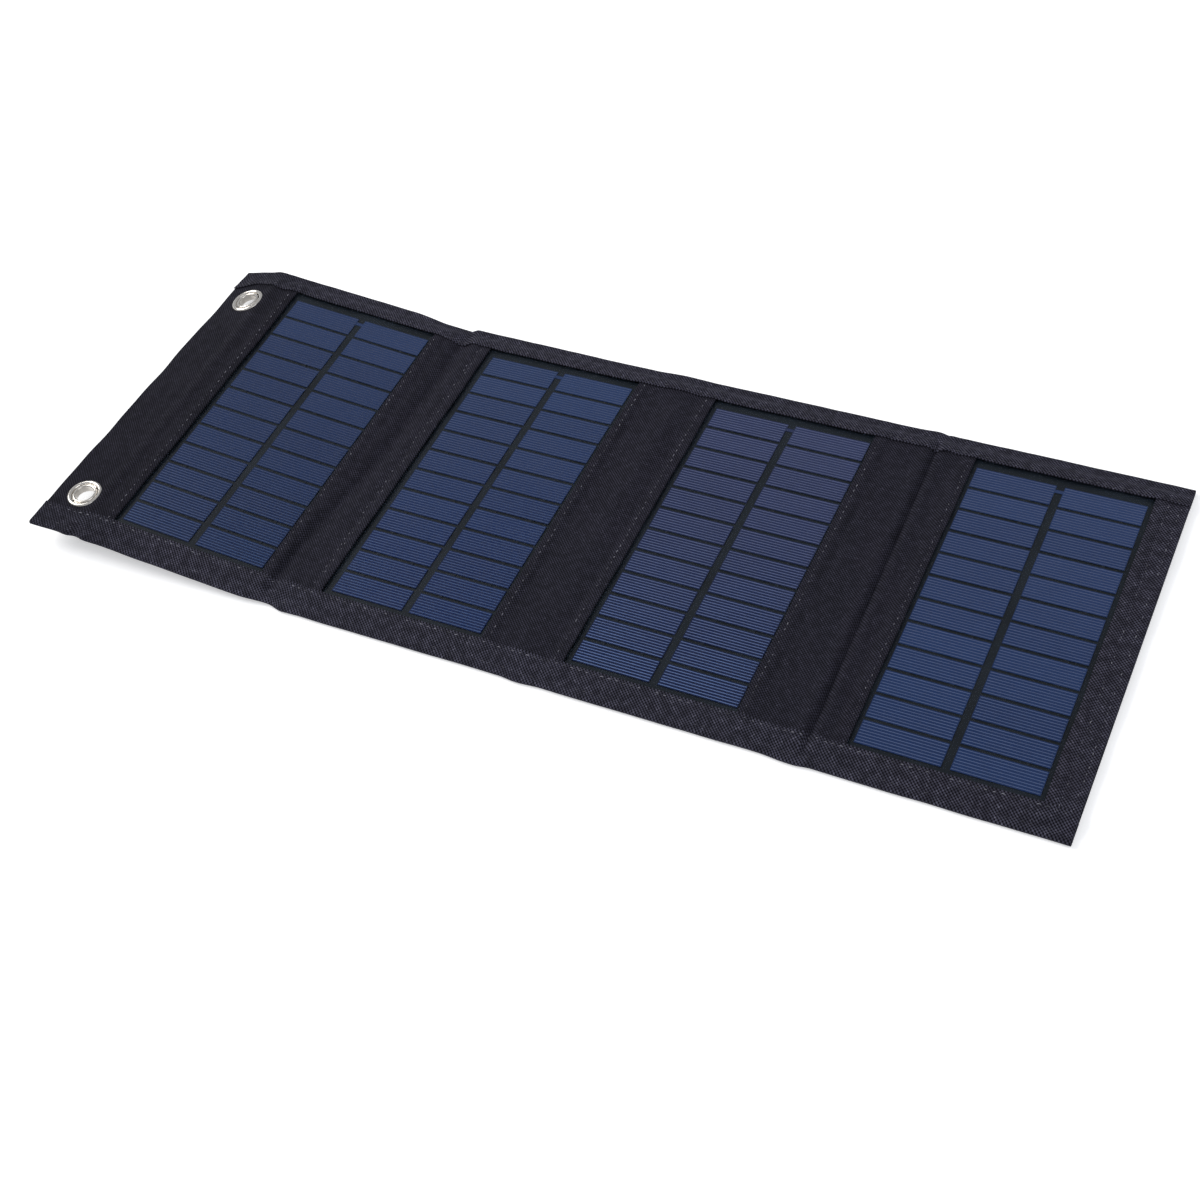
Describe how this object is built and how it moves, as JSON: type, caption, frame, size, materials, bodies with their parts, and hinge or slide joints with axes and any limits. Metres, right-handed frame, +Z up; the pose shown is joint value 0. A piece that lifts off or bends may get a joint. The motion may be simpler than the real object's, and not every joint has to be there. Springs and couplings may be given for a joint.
{
  "type": "folding solar charging mat",
  "caption": "Folding solar panel mat of laminated cell panels sewn into black cloth, with an eyelet flap at one end and a slim USB controller in a sleeve behind the first panel.",
  "frame": {"origin": "bottom centre of the mat, laid open with its cells up", "axes": "+X along the mat from the eyelet flap to the plain end, +Y across the mat to its far long edge, +Z up out of the cells"},
  "size_m": [0.4372, 0.172, 0.0134],
  "materials": {
    "black_oxford_cloth": "matt twill-faced oxford cloth, charcoal black",
    "laminate_board": "dark slate glass-fibre laminate",
    "silicon_cells": "navy silicon with fine pale conductor lines",
    "clear_film": "satin clear film",
    "nickel_plate": "polished nickel plate",
    "black_plastic": "fine moulded texture",
    "circuit_board": "green solder mask",
    "tinned_steel": "tinned sheet steel",
    "white_plastic": "moulded",
    "ferrite": "sintered ferrite",
    "capacitor_can": "drawn can",
    "red_lens": "clear red lens",
    "lead_jacket": "flat insulated ribbon"
  },
  "bodies": {
    "section_4": {"section_4_back_cloth": "black_oxford_cloth", "section_4_left_strip": "black_oxford_cloth", "section_4_right_strip": "black_oxford_cloth", "section_4_near_hem": "black_oxford_cloth", "section_4_far_hem": "black_oxford_cloth", "panel_4_board": "laminate_board", "panel_4_cells": "silicon_cells", "panel_4_film": "clear_film", "lead_3_4": "lead_jacket"},
    "section_3": {"section_3_back_cloth": "black_oxford_cloth", "section_3_left_strip": "black_oxford_cloth", "section_3_right_strip": "black_oxford_cloth", "section_3_near_hem": "black_oxford_cloth", "section_3_far_hem": "black_oxford_cloth", "panel_3_board": "laminate_board", "panel_3_cells": "silicon_cells", "panel_3_film": "clear_film", "lead_2_3": "lead_jacket"},
    "section_2": {"section_2_back_cloth": "black_oxford_cloth", "section_2_left_strip": "black_oxford_cloth", "section_2_right_strip": "black_oxford_cloth", "section_2_near_hem": "black_oxford_cloth", "section_2_far_hem": "black_oxford_cloth", "panel_2_board": "laminate_board", "panel_2_cells": "silicon_cells", "panel_2_film": "clear_film", "lead_1_2": "lead_jacket"},
    "section_1": {"section_1_back_cloth": "black_oxford_cloth", "section_1_left_strip": "black_oxford_cloth", "section_1_right_strip": "black_oxford_cloth", "section_1_near_hem": "black_oxford_cloth", "section_1_far_hem": "black_oxford_cloth", "panel_1_board": "laminate_board", "panel_1_cells": "silicon_cells", "panel_1_film": "clear_film", "controller_sleeve": "black_oxford_cloth", "controller_case_base": "black_plastic", "controller_case_lid": "black_plastic", "controller_circuit_board": "circuit_board", "usb_socket_shell": "tinned_steel", "usb_socket_tongue": "white_plastic", "inductor": "ferrite", "output_capacitor": "capacitor_can", "regulator_chip": "black_plastic", "blocking_diode": "black_plastic", "status_led": "red_lens", "controller_input_lead": "lead_jacket"},
    "flap": {"flap_back_cloth": "black_oxford_cloth", "flap_face_cloth": "black_oxford_cloth", "flap_near_hem": "black_oxford_cloth", "flap_far_hem": "black_oxford_cloth", "eyelet_near": "nickel_plate", "eyelet_far": "nickel_plate", "eyelet_washer_near": "nickel_plate", "eyelet_washer_far": "nickel_plate"}
  },
  "joints": [
    {"name": "fold_3_4", "type": "hinge", "parent": "section_4", "child": "section_3", "pos_m": [0.12011, 0, 0.0044], "axis": [0, 1, 0], "range_deg": [0, 180], "deforming": ["lead_3_4"]},
    {"name": "fold_2_3", "type": "hinge", "parent": "section_3", "child": "section_2", "pos_m": [0.00861, 0, -0.0047], "axis": [0, -1, 0], "range_deg": [0, 176], "deforming": ["lead_2_3"]},
    {"name": "fold_1_2", "type": "hinge", "parent": "section_2", "child": "section_1", "pos_m": [-0.09939, 0, 0.0044], "axis": [0, 1, 0], "range_deg": [-5.45, 174.5], "deforming": ["lead_1_2"]},
    {"name": "flap_fold", "type": "hinge", "parent": "section_1", "child": "flap", "pos_m": [-0.19681, 0, 0.00465], "axis": [0, -1, 0], "range_deg": [-6, 154]}
  ]
}
